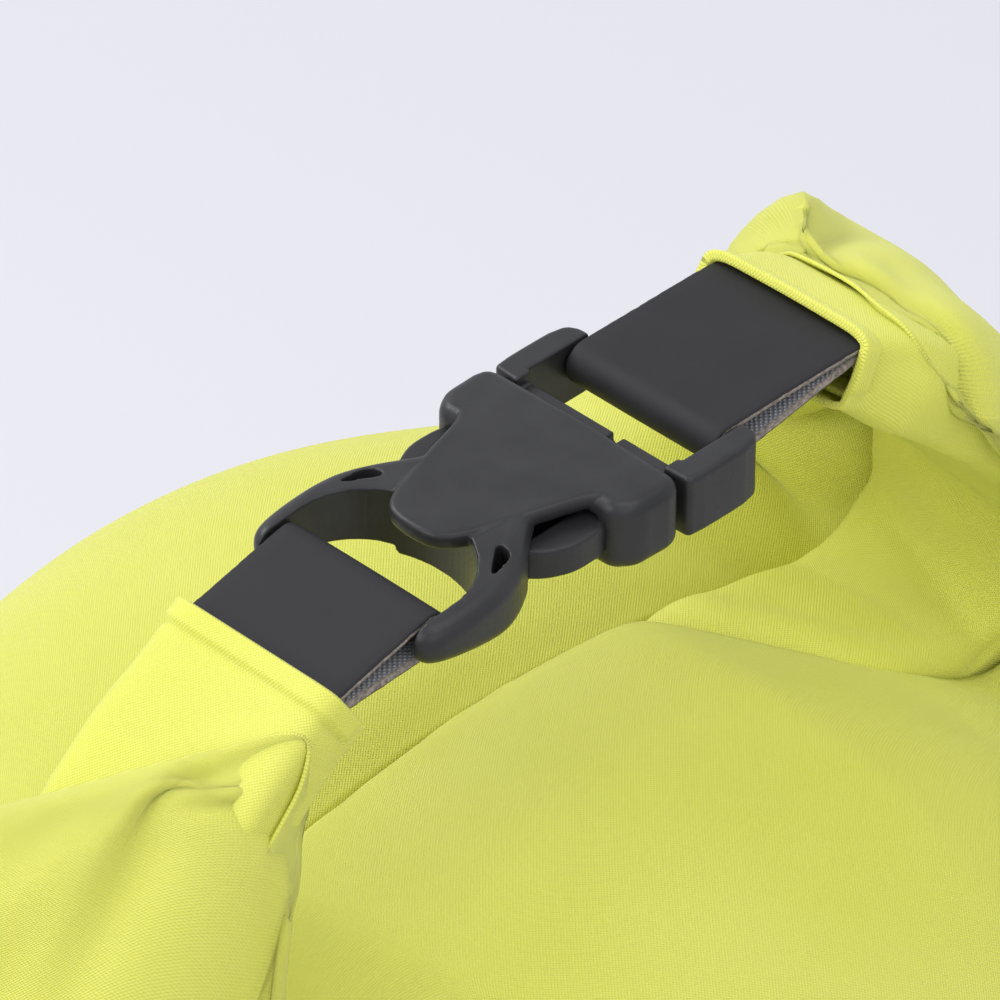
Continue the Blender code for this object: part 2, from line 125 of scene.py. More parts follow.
class Nodes:
    """A short way to wire a material's nodes."""

    def __init__(self, name):
        self.material = bpy.data.materials.new(name)
        self.material.use_nodes = True
        self.tree = self.material.node_tree
        self.shader = self.tree.nodes["Principled BSDF"]

    def add(self, kind, **settings):
        node = self.tree.nodes.new(kind)
        for key, value in settings.items():
            setattr(node, key, value)
        return node

    def link(self, output, target):
        self.tree.links.new(output, target)

    def set(self, **values):
        for key, value in values.items():
            self.shader.inputs[key.replace("_", " ")].default_value = value

    def math(self, operation, a, b=None):
        node = self.add("ShaderNodeMath", operation=operation)
        for index, value in enumerate((a, b)):
            if value is None:
                continue
            if isinstance(value, (int, float)):
                node.inputs[index].default_value = value
            else:
                self.link(value, node.inputs[index])
        return node.outputs[0]

    def noise(self, coordinates, scale, detail=2.0, roughness=0.5):
        node = self.add("ShaderNodeTexNoise")
        node.inputs["Scale"].default_value = scale
        node.inputs["Detail"].default_value = detail
        node.inputs["Roughness"].default_value = roughness
        self.link(coordinates, node.inputs["Vector"])
        return node.outputs["Fac"]

    def ramp(self, value, stops):
        node = self.add("ShaderNodeValToRGB")
        elements = node.color_ramp.elements
        while len(elements) < len(stops):
            elements.new(0.5)
        for element, (position, colour) in zip(elements, stops):
            element.position = position
            element.color = colour
        self.link(value, node.inputs["Fac"])
        return node.outputs["Color"]

    def bump(self, height, distance, strength=1.0, normal=None):
        node = self.add("ShaderNodeBump")
        node.inputs["Strength"].default_value = strength
        node.inputs["Distance"].default_value = distance
        self.link(height, node.inputs["Height"])
        if normal is not None:
            self.link(normal, node.inputs["Normal"])
        return node.outputs["Normal"]


def weave(n, pitch):
    """Height of a plain weave over the piece's own cloth coordinates, which are in metres."""
    uv = n.add("ShaderNodeUVMap", uv_map="cloth")
    split = n.add("ShaderNodeSeparateXYZ")
    n.link(uv.outputs["UV"], split.inputs[0])
    waves = []
    for axis in ("X", "Y"):
        turned = n.math("MULTIPLY", split.outputs[axis], math.pi / pitch)
        waves.append(n.math("SINE", turned))
    return n.math("MULTIPLY", waves[0], waves[1])


def fabric_material(name, pitch=0.24 * MM):
    n = Nodes(name)
    coordinates = n.add("ShaderNodeTexCoord").outputs["Object"]
    height = weave(n, pitch)
    broad = n.noise(coordinates, 30.0, 3.0)
    fine = n.noise(coordinates, 900.0, 2.0)
    light = (0.775, 0.785, 0.135, 1.0)
    deep = (0.735, 0.755, 0.105, 1.0)
    base = n.ramp(broad, [(0.35, deep), (0.68, light)])
    # Painted shade: the weave's low cells are darkened and yellowed a little, as shade in the
    # weave's hollows.
    painted_weave_shade = n.ramp(
        height,
        [(0.0, (0.91, 0.91, 0.80, 1.0)), (0.5, (1.0, 1.0, 1.0, 1.0))],
    )
    mix = n.add("ShaderNodeMix", data_type="RGBA", blend_type="MULTIPLY")
    mix.inputs["Factor"].default_value = 1.0
    n.link(base, mix.inputs["A"])
    n.link(painted_weave_shade, mix.inputs["B"])
    n.link(mix.outputs["Result"], n.shader.inputs["Base Color"])
    rough = n.ramp(fine, [(0.2, (0.42, 0.42, 0.42, 1.0)), (0.8, (0.60, 0.60, 0.60, 1.0))])
    n.link(rough, n.shader.inputs["Roughness"])
    low = n.bump(fine, 0.05 * MM, 0.4)
    n.link(n.bump(height, 0.055 * MM, 0.9, low), n.shader.inputs["Normal"])
    n.set(Sheen_Weight=0.25, Sheen_Roughness=0.4, Specular_IOR_Level=0.45)
    n.set(Subsurface_Weight=0.18, Subsurface_Scale=0.004)
    n.shader.inputs["Subsurface Radius"].default_value = (1.0, 1.0, 0.25)
    n.shader.inputs["Sheen Tint"].default_value = (0.95, 1.0, 0.6, 1.0)
    return n.material


def strap_material():
    """Matte rubber coating: very fine pebble, a few faint handling marks."""
    n = Nodes("strap_rubber_coating")
    coordinates = n.add("ShaderNodeTexCoord").outputs["Object"]
    pebble = n.noise(coordinates, 2600.0, 2.0, 0.6)
    cloud = n.noise(coordinates, 120.0, 3.0)
    deep, pale = (0.017, 0.0165, 0.019, 1.0), (0.023, 0.0225, 0.025, 1.0)
    colour = n.ramp(cloud, [(0.3, deep), (0.75, pale)])
    n.link(colour, n.shader.inputs["Base Color"])
    rough = n.ramp(cloud, [(0.3, (0.56, 0.56, 0.56, 1.0)), (0.8, (0.68, 0.68, 0.68, 1.0))])
    n.link(rough, n.shader.inputs["Roughness"])
    n.link(n.bump(pebble, 0.02 * MM, 0.5), n.shader.inputs["Normal"])
    n.set(Specular_IOR_Level=0.27)
    return n.material


def strap_back_material():
    """Grey woven backing of the strap, with painted shade darkening the weave's hollows."""
    n = Nodes("strap_woven_back")
    height = weave(n, 0.42 * MM)
    # Grey threads, darker where the weave is low: painted shade in the weave's hollows.
    colour = n.ramp(height, [(0.0, (0.20, 0.205, 0.22, 1.0)), (0.6, (0.46, 0.47, 0.49, 1.0))])
    n.link(colour, n.shader.inputs["Base Color"])
    n.link(n.bump(height, 0.12 * MM, 1.0), n.shader.inputs["Normal"])
    n.set(Roughness=0.85, Sheen_Weight=0.3)
    return n.material


def strap_edge_material():
    """Cut edge of the laminate, a brownish grey."""
    n = Nodes("strap_cut_edge")
    coordinates = n.add("ShaderNodeTexCoord").outputs["Object"]
    grain = n.noise(coordinates, 1800.0, 3.0, 0.7)
    colour = n.ramp(grain, [(0.3, (0.10, 0.085, 0.07, 1.0)), (0.7, (0.36, 0.31, 0.26, 1.0))])
    n.link(colour, n.shader.inputs["Base Color"])
    n.link(n.bump(grain, 0.08 * MM, 0.8), n.shader.inputs["Normal"])
    n.set(Roughness=0.9)
    return n.material


def buckle_material(name, spark=2400.0, shade_factor=1.0):
    """Black acetal with the fine satin grain of a spark-eroded mould."""
    n = Nodes(name)
    coordinates = n.add("ShaderNodeTexCoord").outputs["Object"]
    grain = n.noise(coordinates, spark, 2.0, 0.6)
    cloud = n.noise(coordinates, 160.0, 2.0)
    # The factor darkens a whole copy of the acetal: painted shade for a part that sits in shadow.
    deep, pale = ((c * shade_factor, c * shade_factor, c * shade_factor * 1.06, 1.0) for c in (0.015, 0.024))
    colour = n.ramp(cloud, [(0.3, deep), (0.75, pale)])
    n.link(colour, n.shader.inputs["Base Color"])
    rough = n.ramp(grain, [(0.25, (0.34, 0.34, 0.34, 1.0)), (0.8, (0.48, 0.48, 0.48, 1.0))])
    n.link(rough, n.shader.inputs["Roughness"])
    n.link(n.bump(grain, 0.018 * MM, 0.55), n.shader.inputs["Normal"])
    n.set(Specular_IOR_Level=0.4)
    return n.material


def tape_material():
    """Clear sealing tape, slightly clouded, with the fabric's colour showing through."""
    n = Nodes("clear_seam_tape")
    coordinates = n.add("ShaderNodeTexCoord").outputs["Object"]
    cloud = n.noise(coordinates, 90.0, 3.0)
    colour = n.ramp(cloud, [(0.3, (0.52, 0.56, 0.24, 1.0)), (0.7, (0.66, 0.70, 0.38, 1.0))])
    n.link(colour, n.shader.inputs["Base Color"])
    n.link(n.bump(n.noise(coordinates, 1500.0), 0.03 * MM, 0.5), n.shader.inputs["Normal"])
    n.set(Roughness=0.28)
    return n.material


def strip_material():
    """Off-white stiffener strip with fine extrusion lines."""
    n = Nodes("stiffener_strip")
    coordinates = n.add("ShaderNodeTexCoord").outputs["Object"]
    stretch = n.add("ShaderNodeMapping")
    stretch.inputs["Scale"].default_value = (40.0, 2000.0, 40.0)
    n.link(coordinates, stretch.inputs["Vector"])
    lines = n.noise(stretch.outputs[0], 1.0, 2.0)
    colour = n.ramp(lines, [(0.3, (0.66, 0.66, 0.62, 1.0)), (0.7, (0.78, 0.78, 0.75, 1.0))])
    n.link(colour, n.shader.inputs["Base Color"])
    n.link(n.bump(lines, 0.04 * MM, 0.5), n.shader.inputs["Normal"])
    n.set(Roughness=0.45)
    return n.material


# ---------------------------------------------------------------- mesh helpers


def new_object(name, verts, faces, mat=None):
    mesh = bpy.data.meshes.new(name)
    mesh.from_pydata([tuple(v) for v in verts], [], faces)
    mesh.update()
    obj = bpy.data.objects.new(name, mesh)
    bpy.context.scene.collection.objects.link(obj)
    if mat is not None:
        mesh.materials.append(mat)
    mesh.shade_smooth()
    return obj


def apply_modifiers(obj):
    """Replaces the object's mesh with the evaluated one."""
    graph = bpy.context.evaluated_depsgraph_get()
    graph.update()
    mesh = bpy.data.meshes.new_from_object(obj.evaluated_get(graph))
    old = obj.data
    obj.modifiers.clear()
    obj.data = mesh
    bpy.data.meshes.remove(old)
    return obj


def set_cloth_uv(mesh, per_vertex):
    """Cloth coordinates in metres, one pair for each face corner's vertex."""
    layer = mesh.uv_layers.get("cloth") or mesh.uv_layers.new(name="cloth")
    for loop in mesh.loops:
        layer.data[loop.index].uv = per_vertex[loop.vertex_index]


def walk(position, heading, length, turn, steps):
    """Points along an arc of that length and turn, as (x, z, heading)."""
    points = []
    x, z = position
    for _ in range(steps):
        mid = heading + turn / steps / 2
        chord = 2 * (length / abs(turn)) * math.sin(abs(turn) / steps / 2)
        x += chord * math.cos(mid)
        z += chord * math.sin(mid)
        heading += turn / steps
        points.append((x, z, heading))
    return points


def loop_path():
    """The roll's centre line from the left strap to the right one, as (x, z, heading)."""
    turn = 2 * math.pi + SEAT_ANGLE - ARM_END
    path = [(-LOOP_HALF, 0.0, ARM_START)]
    path += walk(path[-1][:2], path[-1][2], ARM_LENGTH, ARM_END - ARM_START, 24)
    path += walk(path[-1][:2], path[-1][2], TURN_RADIUS * turn, turn, 40)
    seat_radius = -path[-1][0] / math.sin(SEAT_ANGLE)
    path += walk(path[-1][:2], path[-1][2], seat_radius * SEAT_ANGLE, -SEAT_ANGLE, 20)
    mirrored = [(-x, z, 4 * math.pi - heading) for x, z, heading in reversed(path[:-1])]
    cos_t, sin_t = math.cos(LOOP_TILT), math.sin(LOOP_TILT)
    return [
        (x * cos_t - z * sin_t, x * sin_t + z * cos_t + TOP_PLANE - LOOP_DROP, h + LOOP_TILT)
        for x, z, h in path + mirrored
    ]


class Path:
    """The loop's centre line by distance along it."""

    def __init__(self, points):
        self.points = np.array(points)
        steps = np.hypot(np.diff(self.points[:, 0]), np.diff(self.points[:, 1]))
        self.marks = np.concatenate([[0.0], np.cumsum(steps)])
        self.length = self.marks[-1]

    def at(self, s):
        """(x, z, normal x, normal z) there; the normal points into the loop."""
        x, z, h = (np.interp(s, self.marks, self.points[:, k]) for k in range(3))
        if s < 0:
            x, z = x + s * math.cos(h), z + s * math.sin(h)
        ease = min(1.0, max(0.0, 1.0 - (self.length - s) / END_LIFT_SPAN)) ** 2
        return x - 0.3 * END_LIFT * ease, z + END_LIFT * ease, -math.sin(h), math.cos(h)

    def place(self, s, y, n):
        x, z, nx, nz = self.at(s)
        return Vector((x + nx * n, y, z + nz * n))


PATH = Path(loop_path())


# ---------------------------------------------------------------- the rolled mouth


def rounded_polygon(points, cut=0.32, corner_steps=5, edge_steps=4):
    """A closed polygon with each corner turned into a curve; evenly many points each time."""
    result = []
    count = len(points)
    for i in range(count):
        before, here, after = (np.array(points[(i + k) % count]) for k in (-1, 0, 1))
        start, end = here + (before - here) * cut, here + (after - here) * cut
        for k in range(corner_steps + 1):
            t = k / corner_steps
            result.append(start * (1 - t) ** 2 + 2 * here * t * (1 - t) + end * t**2)
        stop = after + (here - after) * cut
        for k in range(1, edge_steps):
            result.append(end + (stop - end) * k / edge_steps)
    return np.array(result)


def between_keys(keys, s):
    """The control polygon at s, eased between the two nearest keys."""
    marks = [k[0] for k in keys]
    if s <= marks[0]:
        return np.array(keys[0][1])
    for (s0, a), (s1, b) in zip(keys, keys[1:]):
        if s <= s1:
            t = (s - s0) / (s1 - s0)
            t = t * t * (3 - 2 * t)
            return np.array(a) * (1 - t) + np.array(b) * t
    return np.array(keys[-1][1])


def plain_polygon(outer=5.5, inner=5.5, half=14.2, crown=0.4):
    """Outer face first, from the far corner to the near one, then back along the inner face."""
    return [
        (half, -outer),
        (0.0, -outer - crown),
        (-half, -outer),
        (-half - 0.5, 0.0),
        (-half, inner),
        (0.0, inner + crown),
        (half, inner),
        (half + 0.5, 0.0),
    ]


def roll_keys():
    """Control polygons along the roll; lengths in millimetres, s from the left strap."""
    total = PATH.length / MM
    plain = plain_polygon()
    seat = plain_polygon(5.2, 4.7, 14.2, 0.7)
    left_end = plain_polygon(5.4, 5.2, 13.3, 0.0)
    left_mid = plain_polygon(5.4, 5.4, 14.0, 0.5)
    left_low = plain_polygon(5.2, 5.6, 14.0, 0.7)
    right_end = plain_polygon(5.4, 5.2, 13.4, 0.2)
    right_puff = [(14.4, -6.4), (0.0, -7.4), (-14.5, -7.0), (-17.6, -1.0)]
    right_puff += [(-15.6, 6.6), (0.0, 6.6), (14.2, 5.6), (14.9, 0.0)]
    return [
        (-MOUTH_REACH, left_end),
        (1.0, left_end),
        (15.0, left_mid),
        (32.0, left_low),
        (62.0, plain),
        (110.0, seat),
        (total - 120.0, seat),
        (total - 84.0, plain_polygon(5.2, 6.6, 14.6, 1.6)),
        (total - 48.0, plain_polygon(5.5, 6.2, 14.8, 1.0)),
        (total - 26.0, right_puff),
        (total - 11.0, right_puff),
        (total - 2.0, right_end),
        (total, right_end),
    ]


def fold(p, a, b, width, depth):
    """Depth of a soft fold at p, running from a to b in the (s, y) plane; all in millimetres."""
    a, b, p = np.array(a), np.array(b), np.array(p)
    along = b - a
    t = float(np.clip(np.dot(p - a, along) / np.dot(along, along), 0.0, 1.0))
    gap = np.linalg.norm(p - a - along * t)
    ends = math.sin(math.pi * min(1.0, max(0.0, 0.12 + 0.76 * t)))
    return depth * ends * math.exp(-((gap / width) ** 2))


def roll_relief(s, y, n):
    """How far the roll's surface moves outward there, in millimetres."""
    total = PATH.length / MM
    end = min(s + MOUTH_REACH, total - s)
    relief = 0.45 * noise.noise(Vector((s * 0.045, y * 0.07, n * 0.1 + 7.0)))
    relief += 0.22 * noise.noise(Vector((s * 0.16, y * 0.10 - s * 0.05, n * 0.2 + 3.0)))
    relief *= min(1.0, max(0.0, (end - 1.0) / 8.0))
    if n < 2.0 and abs(y) < 14.6:
        band = 1.0 / (1.0 + math.exp(min(40.0, (end - 2.7) / 0.12)))
        relief += 0.42 * band - 0.30 * math.exp(-(((end - 3.3) / 0.5) ** 2))
    if n > 3.0:
        relief += inner_relief(s, y, total)
    return relief


def inner_relief(s, y, total):
    """Soft folds across the roll's inner face, as in fabric bent up at its ends."""
    folds = [
        ((199.0, -17.0), (183.0, 17.0), 2.4, -1.3),
        ((206.0, -17.0), (190.0, 17.0), 3.4, 0.9),
        ((total - 84.0, -15.0), (total - 66.0, 14.0), 3.6, -1.5),
        ((total - 74.0, -15.0), (total - 58.0, 8.0), 4.0, 1.3),
        ((total - 60.0, -12.0), (total - 52.0, 14.0), 2.6, -1.2),
        ((96.0, -14.0), (84.0, 12.0), 3.4, -1.0),
        ((78.0, -14.0), (72.0, 14.0), 3.0, 1.1),
        ((66.0, -14.0), (60.0, 14.0), 2.6, -1.2),
    ]
    return sum(fold((s, y), a, b, width, depth) for a, b, width, depth in folds)


def ring_points(s, polygon, shrink=0.0, relief=True):
    """One ring across the roll, as points in space, with its cloth coordinates."""
    section = rounded_polygon(polygon)
    centre = section.mean(axis=0)
    nexts = np.roll(section, -1, axis=0)
    lasts = np.roll(section, 1, axis=0)
    tangent = nexts - lasts
    outward = np.stack([tangent[:, 1], -tangent[:, 0]], axis=1)
    outward /= np.linalg.norm(outward, axis=1)[:, None]
    flip = np.sign(np.sum(outward * (section - centre), axis=1).sum())
    outward *= flip
    spots = []
    for (y, n), (oy, on) in zip(section, outward):
        push = -shrink + (roll_relief(s, y, n) if relief else 0.0)
        spots.append(PATH.place(s * MM, (y + oy * push) * MM, (n + on * push) * MM))
    steps = np.linalg.norm(section - lasts, axis=1)
    steps[0] = 0.0
    return spots, np.cumsum(steps)


def sweep(name, marks, keys, mat, wall=0.0, depth=0.0):
    """A closed sweep along the roll. With a wall, both ends are open mouths of that depth."""
    rings = []
    stations = [(s, 0.0) for s in marks]
    if wall:
        first, last = marks[0], marks[-1]
        lead = [(first + depth, wall), (first + 0.5, wall), (first - 0.05, wall * 0.85)]
        lead += [(first - 0.25, wall * 0.5), (first - 0.05, wall * 0.15)]
        tail = [(last + 0.05, wall * 0.15), (last + 0.25, wall * 0.5)]
        tail += [(last + 0.05, wall * 0.85), (last - 0.5, wall), (last - depth, wall)]
        stations = lead + stations + tail
    verts, uvs, faces = [], [], []
    for s, shrink in stations:
        spots, around = ring_points(s, between_keys(keys, s), shrink, shrink == 0.0)
        rings.append(len(verts))
        verts += spots
        uvs += [(s * MM, a * MM) for a in around]
    count = len(spots)
    for a, b in zip(rings, rings[1:]):
        for i in range(count):
            j = (i + 1) % count
            faces.append((a + i, a + j, b + j, b + i))
    faces.append(tuple(range(rings[0], rings[0] + count))[::-1])
    faces.append(tuple(range(rings[-1], rings[-1] + count)))
    obj = new_object(name, verts, faces, mat)
    set_cloth_uv(obj.data, uvs)
    face_outward(obj)
    return obj


def face_outward(obj, weld=False):
    """Makes the faces agree, outward on a closed solid; weld joins points that coincide."""
    bm = bmesh.new()
    bm.from_mesh(obj.data)
    if weld:
        bmesh.ops.remove_doubles(bm, verts=bm.verts, dist=1e-7)
    bmesh.ops.recalc_face_normals(bm, faces=bm.faces)
    bm.to_mesh(obj.data)
    bm.free()
    obj.data.shade_smooth()


def marks_along(start, end, step):
    """Stations along the roll, in millimetres, closer together at the two ends."""
    count = max(2, int(round((end - start) / step)))
    fine_start = [start + k * 0.25 for k in range(18)]
    middle = [start + 4.5 + (end - start - 9.0) * k / count for k in range(count + 1)]
    fine_end = [end - 4.25 + k * 0.25 for k in range(18)]
    return fine_start + middle + fine_end


def make_roll(mat):
    """The rolled mouth, hollow at both ends, and the inner wrap that shows in each."""
    total = PATH.length / MM
    keys = roll_keys()
    roll = sweep("rolled_mouth", marks_along(-MOUTH_REACH, total, 1.2), keys, mat, 1.0, 16.0)
    wraps = []
    for name, start, end in (
        ("inner_wrap_left", -1.2, 11.0),
        ("inner_wrap_right", total - 18.0, total - 2.2),
    ):
        polygon = [(12.0, -1.4), (0.0, -1.5), (-12.0, -1.4), (-12.2, 1.0)]
        polygon += [(-12.0, 3.7), (0.0, 3.8), (12.0, 3.7), (12.2, 1.0)]
        wraps.append(sweep(name, marks_along(start, end, 2.0), [(0.0, polygon)], mat, 0.9, 8.0))
    return roll, wraps


# ---------------------------------------------------------------- the bag's tube


def crown_ring_controls():
    """The closed line along which the bag's tube leaves the roll.

    Each entry is (s, y, n, side) in millimetres; side is -1 where the fabric sets off to the near
    side, 1 to the far side and 0 outward over the end of the roll. The line starts in the middle
    of the left crossing. Over the seat the near fabric comes from the far edge, across the roll."""
    total = PATH.length / MM
    left_corner = [(3.6, -11.0, -6.3, -0.4), (2.0, -14.2, -4.6, -1.0), (9.0, -15.2, -1.0, -1.0)]
    near = [(26.0, -15.2, -1.0, -1.0), (50.0, -15.2, -1.0, -1.0), (84.0, -15.0, 1.0, -1.0)]
    over_seat = [(102.0, -11.0, 5.9, -1.0), (118.0, 12.4, 5.6, -1.0)]
    over_seat += [(182.0, 12.4, 5.6, -1.0), (200.0, -13.4, 5.4, -1.0)]
    near_right = [(222.0, -15.6, 1.0, -1.0), (total - 46.0, -16.0, -1.0, -1.0)]
    near_right += [(total - 16.0, -17.4, -2.0, -1.0), (total - 8.0, -16.0, -4.8, -1.0)]
    over_right = [(total - 7.0, -12.4, -7.4, -0.4), (total - 9.0, 0.0, -8.0, 0.0)]
    over_right += [(total - 12.0, 12.0, -7.3, 0.4), (total - 16.0, 15.6, -4.2, 1.0)]
    far = [(total - 46.0, 15.4, -1.0, 1.0), (total - 92.0, 14.9, 1.0, 1.0)]
    far += [(96.0, 14.9, 1.0, 1.0), (50.0, 15.2, -1.0, 1.0)]
    far_left = [(35.0, 15.2, -3.4, 1.0), (30.0, 12.6, -6.2, 0.4)]
    start = [(15.0, -1.0, -6.6, 0.0)]
    return start + left_corner + near + over_seat + near_right + over_right + far + far_left


def crown_ring():
    """Evenly spaced points on that line, with the direction in which the fabric sets off."""
    controls = crown_ring_controls()
    controls.append(controls[0])
    dense = []
    for a, b in zip(controls, controls[1:]):
        for k in range(40):
            dense.append(np.array(a) + (np.array(b) - np.array(a)) * k / 40)
    dense.append(np.array(controls[0]))
    spots = np.array([PATH.place(s * MM, y * MM, n * MM) for s, y, n, _ in dense])
    lengths = np.concatenate([[0.0], np.cumsum(np.linalg.norm(np.diff(spots, axis=0), axis=1))])
    marks = np.linspace(0.0, lengths[-1], COLUMNS, endpoint=False)
    ring = np.stack([np.interp(marks, lengths, spots[:, k]) for k in range(3)], axis=1)
    rows = np.stack([np.interp(marks, lengths, np.array(dense)[:, k]) for k in range(4)], axis=1)
    headings = []
    for s, _, n, side in rows:
        _, _, nx, nz = PATH.at(s * MM)
        lift = 0.25 if n > 3.0 else -0.05
        out = np.array([-nx, 0.0, -nz]) * (1.15 - abs(side)) + np.array([0.0, side, lift])
        headings.append(out / np.linalg.norm(out))
    return ring, np.array(headings)


def bag_start():
    """Starting shape and flat-cut shape of the tube, row by row, and the number of rows."""
    ring, out = crown_ring()
    angles = math.pi + 2 * math.pi * np.arange(COLUMNS) / COLUMNS
    circle = np.stack([BAG_RADIUS * np.cos(angles), BAG_RADIUS * np.sin(angles)], axis=1)
    far = np.maximum(0.0, np.sin(angles))
    low = np.column_stack([circle, np.full(COLUMNS, CROWN_START)])
    lift, reach = low.copy(), ring + out * (CROWN_REACH + FAR_REACH * far)[:, None]
    lift[:, 2] += CROWN_RISE + FAR_RISE * far
    reach[:, 2] += FAR_LIFT * far
    start, flat = [], []
    for r in range(WALL_ROWS):
        z = WALL_LOW + (CROWN_START - WALL_LOW) * r / WALL_ROWS
        gather = 1.0 - (1.0 - BASE_RADIUS / BAG_RADIUS) * math.exp(-(z - WALL_LOW) / (9.0 * MM))
        start.append(np.column_stack([circle * gather, np.full(COLUMNS, z)]))
        flat.append(np.column_stack([circle, np.full(COLUMNS, z)]))
    for r in range(CROWN_ROWS + 1):
        t = r / CROWN_ROWS
        z = CROWN_START + (CROWN_LENGTH + FAR_FULLNESS * far) * t
        weights = ((1 - t) ** 3, 3 * t * (1 - t) ** 2, 3 * t**2 * (1 - t), t**3)
        start.append(sum(w * p for w, p in zip(weights, (low, lift, reach, ring))))
        flat.append(np.column_stack([circle, z]))
    return np.concatenate(start), np.concatenate(flat), WALL_ROWS + CROWN_ROWS + 1


def grid_faces(rows):
    """The quads of a tube of that many rows."""
    faces = []
    for r in range(rows - 1):
        for i in range(COLUMNS):
            j = (i + 1) % COLUMNS
            a, b = r * COLUMNS, (r + 1) * COLUMNS
            faces.append((a + i, a + j, b + j, b + i))
    return faces


def scaled_copy(obj, factor):
    """A larger stand-in for the object, for the fabric to rest against."""
    mesh = obj.data.copy()
    for vertex in mesh.vertices:
        vertex.co *= factor
    copy = bpy.data.objects.new(obj.name + "_collider", mesh)
    bpy.context.scene.collection.objects.link(copy)
    return copy


def add_cloth(obj, pins):
    """Coated nylon under slight air pressure, held at the pinned points."""
    group = obj.vertex_groups.new(name="pinned")
    group.add(pins, 1.0, "REPLACE")
    mod = obj.modifiers.new("cloth", "CLOTH")
    settings = mod.settings
    settings.quality = 5
    settings.mass = 0.25
    settings.air_damping = 4.0
    settings.tension_stiffness = 60.0
    settings.compression_stiffness = 30.0
    settings.shear_stiffness = 12.0
    settings.bending_stiffness = 1.5
    settings.tension_damping = 12.0
    settings.compression_damping = 12.0
    settings.shear_damping = 8.0
    settings.vertex_group_mass = "pinned"
    settings.rest_shape_key = obj.data.shape_keys.key_blocks["flat_cut"]
    settings.use_pressure = True
    settings.uniform_pressure_force = 12.0
    settings.effector_weights.gravity = 0.12
    mod.collision_settings.use_collision = True
    mod.collision_settings.collision_quality = 3
    mod.collision_settings.distance_min = 0.006
    mod.collision_settings.friction = 12.0
    mod.collision_settings.use_self_collision = False
    return mod


def inflate(obj, pins, colliders):
    """Runs the cloth simulation and leaves its result as the object's mesh."""
    for collider in colliders:
        mod = collider.modifiers.new("collision", "COLLISION")
        collider.collision.thickness_outer = 0.004
        collider.collision.cloth_friction = 8.0
    mod = add_cloth(obj, pins)
    mod.point_cache.frame_start = 1
    mod.point_cache.frame_end = SIM_FRAMES
    scene = bpy.context.scene
    scene.frame_start, scene.frame_end = 1, SIM_FRAMES
    for frame_number in range(1, SIM_FRAMES + 1):
        scene.frame_set(frame_number)
    apply_modifiers(obj)
    scene.frame_set(1)
    for collider in colliders:
        bpy.data.objects.remove(collider, do_unlink=True)


def soften_wall(mesh):
    """Shallow dents in the straight wall, as in a bag that has been packed and handled."""
    for vertex in mesh.vertices:
        x, y, z = vertex.co
        fade = min(1.0, max(0.0, (z - 12.0 * MM) / (50.0 * MM)))
        fade *= min(1.0, max(0.0, (CROWN_START - z) / (60.0 * MM)))
        dent = noise.noise(Vector((x * 15.0, y * 15.0, z * 11.0)))
        dent += 0.35 * noise.noise(Vector((x * 46.0, y * 46.0, z * 16.0 + 9.0)))
        out = Vector((x, y, 0.0)).normalized()
        vertex.co = vertex.co + out * (DENT_DEPTH * fade * dent)


def make_bag(mat, tape_mat, roll):
    """The tube, gathered on the roll and filled, and the tape over its seam."""
    start, flat, rows = bag_start()
    obj = new_object("bag_tube", start * SIM_SCALE, grid_faces(rows))
    obj.shape_key_add(name="start")
    key = obj.shape_key_add(name="flat_cut")
    for point, spot in zip(key.data, flat * SIM_SCALE):
        point.co = spot
    key.value = 0.0
    last = (rows - 1) * COLUMNS
    pins = list(range(COLUMNS)) + list(range(last, last + COLUMNS))
    inflate(obj, pins, [scaled_copy(roll, SIM_SCALE)])
    for vertex in obj.data.vertices:
        vertex.co /= SIM_SCALE
    soften_wall(obj.data)
    obj.data.materials.clear()
    obj.data.materials.append(mat)
    add_tube_uv(obj.data)
    face_outward(obj)
    tape = make_side_tape(obj.data, tape_mat)
    mod = obj.modifiers.new("soft_folds", "SMOOTH")
    mod.factor = 0.4
    mod.iterations = 2
    mod = obj.modifiers.new("smooth_cloth", "SUBSURF")
    mod.levels = mod.render_levels = 1
    mod = obj.modifiers.new("fabric_thickness", "SOLIDIFY")
    mod.thickness = FABRIC_THICK
    mod.offset = -1.0
    apply_modifiers(obj)
    obj.data.shade_smooth()
    return obj, tape


def make_side_tape(mesh, mat):
    """The sealing tape over the vertical seam, laid along the simulated wall's back face."""
    middle, half = COLUMNS * 3 // 4, 4
    verts, uvs, faces = [], [], []
    rows = range(9, WALL_ROWS)
    for depth in (0.75 * MM, 1.15 * MM):
        for row in rows:
            for column in range(middle - half, middle + half + 1):
                vertex = mesh.vertices[row * COLUMNS + column]
                verts.append(vertex.co - vertex.normal * depth)
                uvs.append((column * 3.0 * MM, vertex.co.z))
    across, down = 2 * half + 1, len(rows)
    layer = across * down
    for r in range(down - 1):
        for c in range(across - 1):
            a = r * across + c
            faces.append((a, a + 1, a + across + 1, a + across))
            faces.append((layer + a, layer + a + across, layer + a + across + 1, layer + a + 1))
    rim = list(range(across)) + [(r + 1) * across - 1 for r in range(1, down)]
    rim += [(down - 1) * across + c for c in range(across - 2, -1, -1)]
    rim += [r * across for r in range(down - 2, 0, -1)]
    for a, b in zip(rim, rim[1:] + rim[:1]):
        faces.append((a, layer + a, layer + b, b))
    obj = new_object("side_tape", verts, faces, mat)
    set_cloth_uv(obj.data, uvs)
    face_outward(obj)
    return obj


